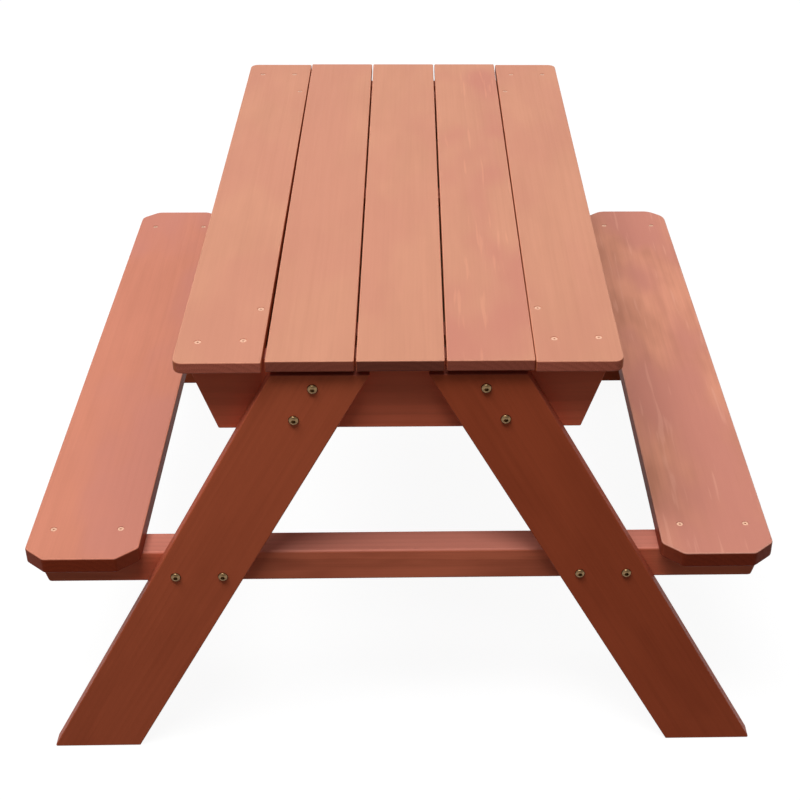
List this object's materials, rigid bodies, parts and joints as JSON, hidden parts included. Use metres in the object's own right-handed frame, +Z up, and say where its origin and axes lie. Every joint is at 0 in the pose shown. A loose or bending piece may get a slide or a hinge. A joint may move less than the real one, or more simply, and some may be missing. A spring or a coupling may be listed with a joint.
{
  "type": "picnic table with sandbox",
  "caption": "Child-size picnic table with a fixed bench on each side and a lift-off board lid over a sandbox tray.",
  "frame": {"origin": "on the floor, under the middle of the table", "axes": "+X across the table to the right as seen from the pictured end, +Y along the table towards the far end, +Z up"},
  "size_m": [0.772, 0.808, 0.5],
  "materials": {
    "top_boards": "pale red-brown stain, satin, fine lengthwise grain",
    "benches": "red-brown stain, satin, fine lengthwise grain",
    "frame": "dark red-brown stain, satin, fine lengthwise grain",
    "plywood": "unstained plywood",
    "bolts": "yellow passivated, dull",
    "screws": "dull, countersunk"
  },
  "bodies": {
    "frame": {"top_board_left": "top_boards", "top_board_right": "top_boards", "bench_left": "benches", "bench_right": "benches", "sandbox_end_front": "frame", "sandbox_end_rear": "frame", "sandbox_side_left": "frame", "sandbox_side_right": "frame", "floor_ledger_front": "frame", "floor_ledger_rear": "frame", "leg_front_left": "frame", "leg_front_right": "frame", "leg_rear_left": "frame", "leg_rear_right": "frame", "bearer_front": "frame", "bearer_rear": "frame", "sandbox_floor": "plywood", "bolt_front_left_top": "bolts", "bolt_front_left_second": "bolts", "bolt_front_left_low_inner": "bolts", "bolt_front_left_low_outer": "bolts", "bolt_front_right_top": "bolts", "bolt_front_right_second": "bolts", "bolt_front_right_low_inner": "bolts", "bolt_front_right_low_outer": "bolts", "bolt_rear_left_top": "bolts", "bolt_rear_left_second": "bolts", "bolt_rear_left_low_inner": "bolts", "bolt_rear_left_low_outer": "bolts", "bolt_rear_right_top": "bolts", "bolt_rear_right_second": "bolts", "bolt_rear_right_low_inner": "bolts", "bolt_rear_right_low_outer": "bolts", "top_screw_front_left_outer": "screws", "top_screw_front_left_inner": "screws", "top_screw_front_left_side": "screws", "top_screw_front_right_outer": "screws", "top_screw_front_right_inner": "screws", "top_screw_front_right_side": "screws", "top_screw_rear_left_outer": "screws", "top_screw_rear_left_inner": "screws", "top_screw_rear_left_side": "screws", "top_screw_rear_right_outer": "screws", "top_screw_rear_right_inner": "screws", "top_screw_rear_right_side": "screws", "bench_screw_front_left_outer": "screws", "bench_screw_front_left_inner": "screws", "bench_screw_front_right_outer": "screws", "bench_screw_front_right_inner": "screws", "bench_screw_rear_left_outer": "screws", "bench_screw_rear_left_inner": "screws", "bench_screw_rear_right_outer": "screws", "bench_screw_rear_right_inner": "screws"},
    "lid": {"lid_board_left": "top_boards", "lid_board_middle": "top_boards", "lid_board_right": "top_boards", "lid_batten_front": "frame", "lid_batten_middle": "frame", "lid_batten_rear": "frame"}
  },
  "joints": [
    {"name": "lid_lift", "type": "slide", "parent": "frame", "child": "lid", "axis": [0, 0, 1], "range_m": [0, 0.15]}
  ]
}
